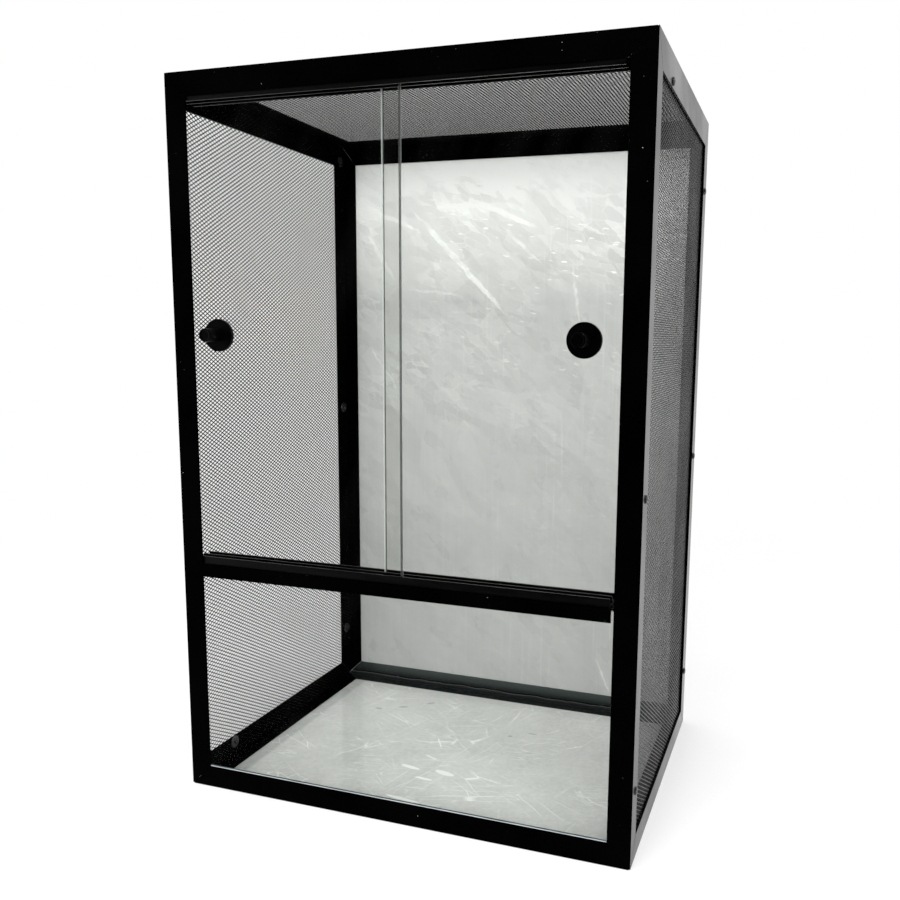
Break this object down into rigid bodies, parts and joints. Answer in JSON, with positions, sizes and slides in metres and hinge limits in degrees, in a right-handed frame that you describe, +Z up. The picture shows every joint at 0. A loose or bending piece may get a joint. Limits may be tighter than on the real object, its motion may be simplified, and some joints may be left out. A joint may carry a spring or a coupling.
{
  "type": "terrarium",
  "caption": "Tall terrarium with a black mitred metal frame, mesh sides and top, a fixed lower glass pane and sliding glass front doors with round knobs",
  "frame": {"origin": "on the ground, below the middle of the whole part with its knobs and rivet heads", "axes": "+X to the right seen from the doors, -Y out of the front, +Z up"},
  "size_m": [0.403, 0.306, 0.61],
  "materials": {
    "black_coat": "satin black powder coat",
    "black_mesh": "satin black powder coat",
    "filmed_sheet": "silver sheet under wrinkled clear film",
    "floor_sheet": "silver sheet under glossy clear film",
    "clear_glass": "clear, slightly green",
    "sealant": "clear silicone",
    "track_plastic": "satin black",
    "knob_plastic": "satin black",
    "black_rivet": "black",
    "zinc_washer": "zinc plated"
  },
  "bodies": {
    "case": {"bottom_front_rail": "black_coat", "bottom_back_rail": "black_coat", "bottom_left_rail": "black_coat", "bottom_right_rail": "black_coat", "top_front_rail": "black_coat", "top_back_rail": "black_coat", "top_left_rail": "black_coat", "top_right_rail": "black_coat", "front_left_post": "black_coat", "front_right_post": "black_coat", "back_left_post": "black_coat", "back_right_post": "black_coat", "back_left_post_flange": "black_coat", "back_right_post_flange": "black_coat", "door_sill": "black_coat", "left_mesh": "black_mesh", "right_mesh": "black_mesh", "top_mesh": "black_mesh", "back_panel": "filmed_sheet", "floor_panel": "floor_sheet", "front_lower_glass": "clear_glass", "lower_glass_bead": "sealant", "lower_glass_track": "track_plastic", "upper_glass_track": "track_plastic", "left_rivet_front_middle": "black_rivet", "left_rivet_front_high": "black_rivet", "left_rivet_back_low": "black_rivet", "left_rivet_back_middle": "black_rivet", "left_rivet_back_high": "black_rivet", "left_rivet_rail_low": "black_rivet", "right_rivet_front_low": "black_rivet", "right_rivet_front_middle": "black_rivet", "right_rivet_back_low": "black_rivet", "right_rivet_back_middle": "black_rivet", "right_rivet_back_high": "black_rivet", "right_rivet_rail_high": "black_rivet", "left_washer_front_middle": "zinc_washer", "left_washer_front_high": "zinc_washer", "left_washer_back_low": "zinc_washer", "left_washer_back_middle": "zinc_washer", "left_washer_back_high": "zinc_washer", "left_washer_rail_low": "zinc_washer", "right_washer_front_low": "zinc_washer", "right_washer_front_middle": "zinc_washer", "right_washer_back_low": "zinc_washer", "right_washer_back_middle": "zinc_washer", "right_washer_back_high": "zinc_washer", "right_washer_rail_high": "zinc_washer"},
    "left_door": {"left_door_glass": "clear_glass", "left_knob": "knob_plastic"},
    "right_door": {"right_door_glass": "clear_glass", "right_knob": "knob_plastic"}
  },
  "joints": [
    {"name": "left_door_slide", "type": "slide", "parent": "case", "child": "left_door", "axis": [1, 0, 0], "range_m": [0, 0.0649]},
    {"name": "right_door_slide", "type": "slide", "parent": "case", "child": "right_door", "axis": [-1, 0, 0], "range_m": [0, 0.0649]}
  ]
}
